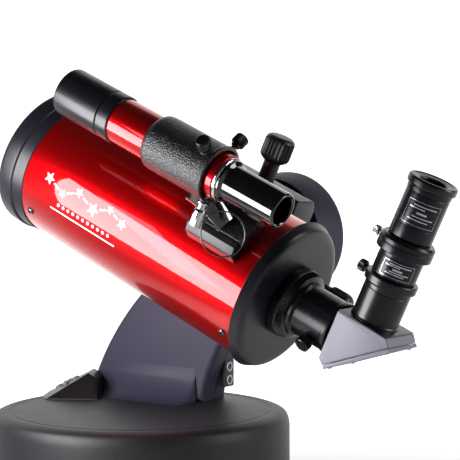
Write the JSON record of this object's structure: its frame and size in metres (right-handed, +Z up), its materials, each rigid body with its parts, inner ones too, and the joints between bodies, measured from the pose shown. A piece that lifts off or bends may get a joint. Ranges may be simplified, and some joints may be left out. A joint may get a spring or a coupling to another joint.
{
  "type": "tabletop telescope on a single-arm tracking mount",
  "caption": "Compact catadioptric telescope with finder, diagonal, Barlow and eyepiece, on a curved single-arm motorised alt-azimuth mount with a round turret.",
  "frame": {"origin": "mouth of the tripod socket, on the azimuth axis, in the underside of the base board", "axes": "+Z up along the azimuth axis, +X towards the eyepiece end, +Y towards the arm"},
  "size_m": [0.463, 0.2927, 0.3792],
  "materials": {
    "matte_black": "fine texture",
    "rubber": "matte",
    "steel": "ground",
    "brass": "machined",
    "motor_case": "satin",
    "battery_jacket": "printed sleeve with no marks",
    "circuit_green": "solder mask",
    "satin_black": "satin",
    "grey_key": "matte",
    "red_switch": "moulded",
    "slate_plastic": "fine spark-eroded texture",
    "cast_aluminium": "cast",
    "black_metal": "satin black paint",
    "anodised_grey": "anodised",
    "red_enamel": "glossy metallic enamel",
    "glass": "coated",
    "mirror": "aluminised",
    "chrome": "polished",
    "pearl_grey": "satin pearl",
    "gloss_black": "glossy",
    "wrinkle_black": "wrinkle paint"
  },
  "bodies": {
    "base": {"base_board": "matte_black", "rubber_feet": "rubber", "azimuth_spindle": "steel", "azimuth_wheel": "brass"},
    "turret": {"turret_housing": "matte_black", "turret_floor": "matte_black", "azimuth_bearing": "steel", "azimuth_motor": "motor_case", "battery_tray": "matte_black", "batteries": "battery_jacket", "circuit_board": "circuit_green", "control_pod": "satin_black", "arm_inner_shell": "slate_plastic", "arm_outer_shell": "slate_plastic", "arm_frame": "cast_aluminium", "arm_screws": "steel", "port_panel": "satin_black", "head_drum": "slate_plastic", "altitude_bearing": "steel", "altitude_motor": "motor_case"},
    "azimuth_worm": {"azimuth_worm": "steel"},
    "altitude_worm": {"altitude_worm": "steel"},
    "key_up": {"key_up": "grey_key"},
    "key_down": {"key_down": "grey_key"},
    "key_left": {"key_left": "grey_key"},
    "key_right": {"key_right": "grey_key"},
    "power_switch": {"power_switch": "red_switch"},
    "altitude_head": {"altitude_wheel": "brass", "altitude_shaft": "steel", "altitude_plate": "black_metal", "saddle": "black_metal"},
    "clamp_jaw": {"clamp_jaw": "cast_aluminium"},
    "clamp_knob": {"clamp_knob": "satin_black"},
    "optical_tube": {"dovetail_bar": "anodised_grey", "main_tube": "red_enamel", "front_ring": "black_metal", "corrector_lens": "glass", "primary_baffle": "black_metal", "rear_cell": "black_metal", "tube_screws": "gloss_black", "visual_back": "black_metal", "finder_shoe": "satin_black"},
    "mirror": {"primary_mirror": "mirror"},
    "focus_knob": {"focus_knob": "satin_black"},
    "visual_back_screw": {"visual_back_screw": "satin_black"},
    "diagonal": {"diagonal_body": "pearl_grey", "diagonal_mirror": "mirror"},
    "holder_screw": {"holder_screw": "satin_black"},
    "barlow": {"barlow": "black_metal"},
    "barlow_screw": {"barlow_screw": "steel"},
    "eyepiece": {"eyepiece": "black_metal", "eyepiece_lens": "glass"},
    "shoe_knob": {"shoe_knob": "gloss_black"},
    "finder": {"finder_bracket": "wrinkle_black", "finder_tube": "red_enamel"},
    "finder_screw_upper": {"finder_screw_upper": "satin_black"},
    "finder_screw_near": {"finder_screw_near": "satin_black"},
    "finder_plunger": {"finder_plunger": "chrome"},
    "finder_shade": {"finder_shade": "satin_black"},
    "finder_lock_ring": {"finder_lock_ring": "satin_black"}
  },
  "joints": [
    {"name": "azimuth", "type": "hinge", "parent": "base", "child": "turret", "pos_m": [0, 0, 0.04], "axis": [0, 0, 1], "continuous": true},
    {"name": "azimuth_worm_turn", "type": "hinge", "parent": "turret", "child": "azimuth_worm", "pos_m": [0, -0.0524, 0.035], "axis": [1, 0, 0], "continuous": true},
    {"name": "altitude", "type": "hinge", "parent": "turret", "child": "altitude_head", "pos_m": [0.095, 0.045, 0.234], "axis": [0, 1, 0], "range_deg": [-35, 40]},
    {"name": "altitude_worm_turn", "type": "hinge", "parent": "turret", "child": "altitude_worm", "pos_m": [0.095, 0.0702, 0.1936], "axis": [1, 0, 0], "range_deg": [-2520, 2880]},
    {"name": "key_up_press", "type": "slide", "parent": "turret", "child": "key_up", "axis": [0.3932, 0.227, -0.891], "range_m": [0, 0.001], "stiffness_N_per_m": 300, "springref_m": -0.001},
    {"name": "key_down_press", "type": "slide", "parent": "turret", "child": "key_down", "axis": [0.3932, 0.227, -0.891], "range_m": [0, 0.001], "stiffness_N_per_m": 300, "springref_m": -0.001},
    {"name": "key_left_press", "type": "slide", "parent": "turret", "child": "key_left", "axis": [0.3932, 0.227, -0.891], "range_m": [0, 0.001], "stiffness_N_per_m": 300, "springref_m": -0.001},
    {"name": "key_right_press", "type": "slide", "parent": "turret", "child": "key_right", "axis": [0.3932, 0.227, -0.891], "range_m": [0, 0.001], "stiffness_N_per_m": 300, "springref_m": -0.001},
    {"name": "power_switch_rock", "type": "hinge", "parent": "turret", "child": "power_switch", "pos_m": [-0.11261, 0.03866, 0.09198], "axis": [-0.5, 0.866, 0], "range_deg": [0, 16]},
    {"name": "dovetail_slide", "type": "slide", "parent": "altitude_head", "child": "optical_tube", "axis": [0.9063, 0, -0.4226], "range_m": [-0.02, 0.02]},
    {"name": "clamp_knob_turn", "type": "hinge", "parent": "altitude_head", "child": "clamp_knob", "pos_m": [0.12308, 0.012, 0.28711], "axis": [0.4226, 0, 0.9063], "range_deg": [0, 430]},
    {"name": "clamp_jaw_lift", "type": "slide", "parent": "altitude_head", "child": "clamp_jaw", "axis": [0.4226, 0, 0.9063], "range_m": [0, 0.0015]},
    {"name": "focus_turn", "type": "hinge", "parent": "optical_tube", "child": "focus_knob", "pos_m": [0.19681, -0.016, 0.19204], "axis": [0.9063, 0, -0.4226], "range_deg": [-720, 720]},
    {"name": "mirror_travel", "type": "slide", "parent": "optical_tube", "child": "mirror", "axis": [0.9063, 0, -0.4226], "range_m": [-0.003, 0.003]},
    {"name": "visual_back_screw_turn", "type": "hinge", "parent": "optical_tube", "child": "visual_back_screw", "pos_m": [0.21408, -0.07097, 0.16519], "axis": [-0.2543, -0.7986, -0.5454], "range_deg": [0, 360]},
    {"name": "diagonal_turn", "type": "hinge", "parent": "optical_tube", "child": "diagonal", "pos_m": [0.22188, -0.055, 0.17483], "axis": [0.9063, 0, -0.4226], "range_deg": [-90, 90]},
    {"name": "holder_screw_turn", "type": "hinge", "parent": "diagonal", "child": "holder_screw", "pos_m": [0.26241, -0.055, 0.21441], "axis": [-0.9063, 0, 0.4226], "range_deg": [0, 360]},
    {"name": "barlow_slide", "type": "slide", "parent": "diagonal", "child": "barlow", "axis": [0.4226, 0, 0.9063], "range_m": [0, 0.02]},
    {"name": "barlow_screw_turn", "type": "hinge", "parent": "barlow", "child": "barlow_screw", "pos_m": [0.27466, -0.055, 0.2407], "axis": [-0.9063, 0, 0.4226], "range_deg": [0, 360]},
    {"name": "eyepiece_slide", "type": "slide", "parent": "barlow", "child": "eyepiece", "axis": [0.4226, 0, 0.9063], "range_m": [0, 0.02]},
    {"name": "shoe_knob_turn", "type": "hinge", "parent": "optical_tube", "child": "shoe_knob", "pos_m": [0.16562, -0.09296, 0.26358], "axis": [0.3237, 0.6428, 0.6943], "range_deg": [0, 300]},
    {"name": "finder_slide", "type": "slide", "parent": "optical_tube", "child": "finder", "axis": [0.9063, 0, -0.4226], "range_m": [0, 0.04]},
    {"name": "finder_screw_upper_turn", "type": "hinge", "parent": "finder", "child": "finder_screw_upper", "pos_m": [0.17054, -0.10974, 0.30609], "axis": [0.2988, 0.7071, 0.6409], "range_deg": [0, 360]},
    {"name": "finder_screw_near_turn", "type": "hinge", "parent": "finder", "child": "finder_screw_near", "pos_m": [0.17054, -0.14509, 0.30609], "axis": [0.2988, -0.7071, 0.6409], "range_deg": [0, 360]},
    {"name": "finder_plunger_pull", "type": "slide", "parent": "finder", "child": "finder_plunger", "axis": [-0.4226, 0, -0.9063], "range_m": [0, 0.003], "stiffness_N_per_m": 800, "springref_m": -0.002},
    {"name": "finder_shade_turn", "type": "hinge", "parent": "finder", "child": "finder_shade", "pos_m": [0.05613, -0.12742, 0.33994], "axis": [0.9063, 0, -0.4226], "range_deg": [-360, 360]},
    {"name": "finder_lock_ring_turn", "type": "hinge", "parent": "finder", "child": "finder_lock_ring", "pos_m": [0.07607, -0.12742, 0.33064], "axis": [0.9063, 0, -0.4226], "range_deg": [-180, 180]}
  ],
  "couplings": [
    {"joint": "azimuth_worm_turn", "follows": "azimuth", "ratio": -72},
    {"joint": "altitude_worm_turn", "follows": "altitude", "ratio": 72},
    {"joint": "clamp_jaw_lift", "follows": "clamp_knob_turn", "m_per_rad": 0.00019987},
    {"joint": "focus_turn", "follows": "mirror_travel", "rad_per_m": 4188.8}
  ]
}
